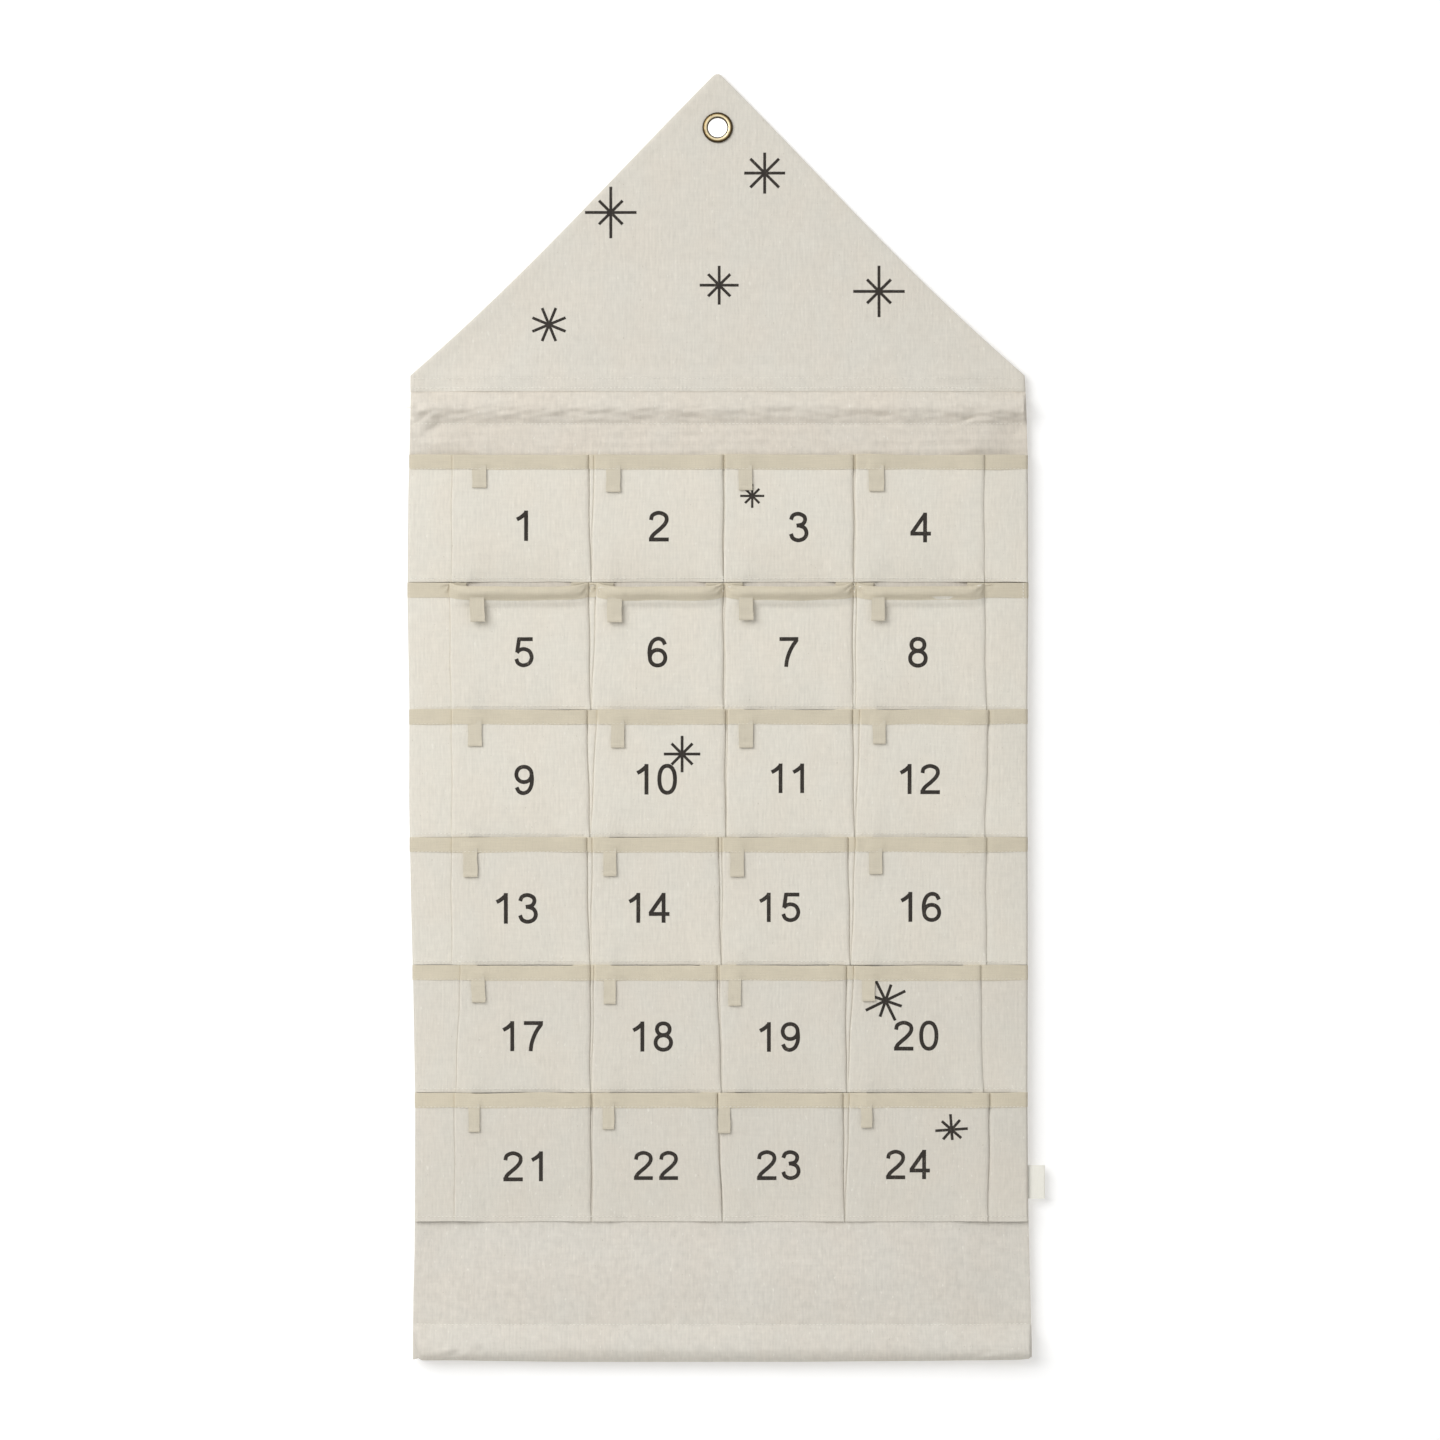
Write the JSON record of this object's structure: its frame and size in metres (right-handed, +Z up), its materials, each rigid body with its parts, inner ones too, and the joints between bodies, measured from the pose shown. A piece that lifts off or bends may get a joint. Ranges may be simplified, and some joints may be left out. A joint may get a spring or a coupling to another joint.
{
  "type": "advent calendar",
  "caption": "House-shaped hanging cloth calendar with rows of pleated pockets, taped mouths, small tape loops, a brass eyelet and dowels in sleeves.",
  "frame": {"origin": "centre of the hanging eyelet's bore, on the rear face of the back lining", "axes": "+Z up along the hung cloth, -Y out of its front, +X to the viewer's right"},
  "size_m": [0.4669, 0.0137, 0.9509],
  "materials": {
    "body_linen": "natural plain-weave linen and cotton with pale and dark flecks, matt",
    "roof_linen": "natural plain-weave linen and cotton, slightly cooler and mottled, matt",
    "lining_linen": "plain-weave lining, matt",
    "pocket_linen": "natural plain-weave linen and cotton, softly creased, matt",
    "cotton_tape": "undyed twill tape, matt",
    "label_tape": "off-white woven tape, bare",
    "antique_brass": "antique brass, rolled, satin with darker hollows",
    "bare_wood": "unfinished turned hardwood",
    "print_ink": "charcoal screen-printed numerals and line stars, matt, with the weave showing through",
    "sewing_thread": "undyed sewing thread, matt"
  },
  "bodies": {
    "root": {"back_lining": "lining_linen", "gable_front": "roof_linen", "front_panel": "body_linen", "eyelet": "antique_brass", "eyelet_washer": "antique_brass", "pocket_row_1": "pocket_linen", "pocket_row_2": "pocket_linen", "pocket_row_3": "pocket_linen", "pocket_row_4": "pocket_linen", "pocket_row_5": "pocket_linen", "pocket_row_6": "pocket_linen", "pocket_binding_1": "cotton_tape", "pocket_binding_2": "cotton_tape", "pocket_binding_3": "cotton_tape", "pocket_binding_4": "cotton_tape", "pocket_binding_5": "cotton_tape", "pocket_binding_6": "cotton_tape"},
    "top_dowel": {"top_dowel": "bare_wood"},
    "bottom_dowel": {"bottom_dowel": "bare_wood"},
    "side_label": {"side_label": "label_tape"},
    "loop_01": {"loop_01": "cotton_tape"},
    "loop_02": {"loop_02": "cotton_tape"},
    "loop_03": {"loop_03": "cotton_tape"},
    "loop_04": {"loop_04": "cotton_tape"},
    "loop_05": {"loop_05": "cotton_tape"},
    "loop_06": {"loop_06": "cotton_tape"},
    "loop_07": {"loop_07": "cotton_tape"},
    "loop_08": {"loop_08": "cotton_tape"},
    "loop_09": {"loop_09": "cotton_tape"},
    "loop_10": {"loop_10": "cotton_tape"},
    "loop_11": {"loop_11": "cotton_tape"},
    "loop_12": {"loop_12": "cotton_tape"},
    "loop_13": {"loop_13": "cotton_tape"},
    "loop_14": {"loop_14": "cotton_tape"},
    "loop_15": {"loop_15": "cotton_tape"},
    "loop_16": {"loop_16": "cotton_tape"},
    "loop_17": {"loop_17": "cotton_tape"},
    "loop_18": {"loop_18": "cotton_tape"},
    "loop_19": {"loop_19": "cotton_tape"},
    "loop_20": {"loop_20": "cotton_tape"},
    "loop_21": {"loop_21": "cotton_tape"},
    "loop_22": {"loop_22": "cotton_tape"},
    "loop_23": {"loop_23": "cotton_tape"},
    "loop_24": {"loop_24": "cotton_tape"}
  },
  "joints": [
    {"name": "top_dowel_slide", "type": "slide", "parent": "root", "child": "top_dowel", "axis": [1, 0, 0], "range_m": [-0.014, 0.008]},
    {"name": "bottom_dowel_slide", "type": "slide", "parent": "root", "child": "bottom_dowel", "axis": [1, 0, 0], "range_m": [-0.014, 0.008]},
    {"name": "loop_01_lift", "type": "hinge", "parent": "root", "child": "loop_01", "pos_m": [-0.17841, -0.01175, -0.2539], "axis": [-1, 0, 0], "range_deg": [0, 150]},
    {"name": "loop_02_lift", "type": "hinge", "parent": "root", "child": "loop_02", "pos_m": [-0.07534, -0.01175, -0.2539], "axis": [-1, 0, 0], "range_deg": [0, 150]},
    {"name": "loop_03_lift", "type": "hinge", "parent": "root", "child": "loop_03", "pos_m": [0.01996, -0.01175, -0.2539], "axis": [-1, 0, 0], "range_deg": [0, 150]},
    {"name": "loop_04_lift", "type": "hinge", "parent": "root", "child": "loop_04", "pos_m": [0.11634, -0.01175, -0.2539], "axis": [-1, 0, 0], "range_deg": [0, 150]},
    {"name": "loop_05_lift", "type": "hinge", "parent": "root", "child": "loop_05", "pos_m": [-0.17894, -0.01175, -0.34832], "axis": [-1, 0, 0], "range_deg": [0, 150]},
    {"name": "loop_06_lift", "type": "hinge", "parent": "root", "child": "loop_06", "pos_m": [-0.07492, -0.01175, -0.34832], "axis": [-1, 0, 0], "range_deg": [0, 150]},
    {"name": "loop_07_lift", "type": "hinge", "parent": "root", "child": "loop_07", "pos_m": [0.0206, -0.01175, -0.34832], "axis": [-1, 0, 0], "range_deg": [0, 150]},
    {"name": "loop_08_lift", "type": "hinge", "parent": "root", "child": "loop_08", "pos_m": [0.1173, -0.01175, -0.34832], "axis": [-1, 0, 0], "range_deg": [0, 150]},
    {"name": "loop_09_lift", "type": "hinge", "parent": "root", "child": "loop_09", "pos_m": [-0.18148, -0.01175, -0.44273], "axis": [-1, 0, 0], "range_deg": [0, 150]},
    {"name": "loop_10_lift", "type": "hinge", "parent": "root", "child": "loop_10", "pos_m": [-0.07142, -0.01175, -0.44273], "axis": [-1, 0, 0], "range_deg": [0, 150]},
    {"name": "loop_11_lift", "type": "hinge", "parent": "root", "child": "loop_11", "pos_m": [0.01954, -0.01175, -0.44273], "axis": [-1, 0, 0], "range_deg": [0, 150]},
    {"name": "loop_12_lift", "type": "hinge", "parent": "root", "child": "loop_12", "pos_m": [0.11698, -0.01175, -0.44273], "axis": [-1, 0, 0], "range_deg": [0, 150]},
    {"name": "loop_13_lift", "type": "hinge", "parent": "root", "child": "loop_13", "pos_m": [-0.18477, -0.01175, -0.53715], "axis": [-1, 0, 0], "range_deg": [0, 150]},
    {"name": "loop_14_lift", "type": "hinge", "parent": "root", "child": "loop_14", "pos_m": [-0.07704, -0.01175, -0.53715], "axis": [-1, 0, 0], "range_deg": [0, 150]},
    {"name": "loop_15_lift", "type": "hinge", "parent": "root", "child": "loop_15", "pos_m": [0.01731, -0.01175, -0.53715], "axis": [-1, 0, 0], "range_deg": [0, 150]},
    {"name": "loop_16_lift", "type": "hinge", "parent": "root", "child": "loop_16", "pos_m": [0.12027, -0.01175, -0.53715], "axis": [-1, 0, 0], "range_deg": [0, 150]},
    {"name": "loop_17_lift", "type": "hinge", "parent": "root", "child": "loop_17", "pos_m": [-0.18413, -0.01175, -0.63157], "axis": [-1, 0, 0], "range_deg": [0, 150]},
    {"name": "loop_18_lift", "type": "hinge", "parent": "root", "child": "loop_18", "pos_m": [-0.07884, -0.01175, -0.63157], "axis": [-1, 0, 0], "range_deg": [0, 150]},
    {"name": "loop_19_lift", "type": "hinge", "parent": "root", "child": "loop_19", "pos_m": [0.01604, -0.01175, -0.63157], "axis": [-1, 0, 0], "range_deg": [0, 150]},
    {"name": "loop_20_lift", "type": "hinge", "parent": "root", "child": "loop_20", "pos_m": [0.11634, -0.01175, -0.63157], "axis": [-1, 0, 0], "range_deg": [0, 150]},
    {"name": "loop_21_lift", "type": "hinge", "parent": "root", "child": "loop_21", "pos_m": [-0.18413, -0.01175, -0.72598], "axis": [-1, 0, 0], "range_deg": [0, 150]},
    {"name": "loop_22_lift", "type": "hinge", "parent": "root", "child": "loop_22", "pos_m": [-0.08011, -0.01175, -0.72598], "axis": [-1, 0, 0], "range_deg": [0, 150]},
    {"name": "loop_23_lift", "type": "hinge", "parent": "root", "child": "loop_23", "pos_m": [0.01, -0.01175, -0.72598], "axis": [-1, 0, 0], "range_deg": [0, 150]},
    {"name": "loop_24_lift", "type": "hinge", "parent": "root", "child": "loop_24", "pos_m": [0.11751, -0.01175, -0.72598], "axis": [-1, 0, 0], "range_deg": [0, 150]},
    {"name": "side_label_fold", "type": "hinge", "parent": "root", "child": "side_label", "pos_m": [0.2278, -0.00085, -0.7807], "axis": [0, 0, -1], "range_deg": [-90, 90], "stiffness_Nm_per_rad": 0.0002}
  ]
}
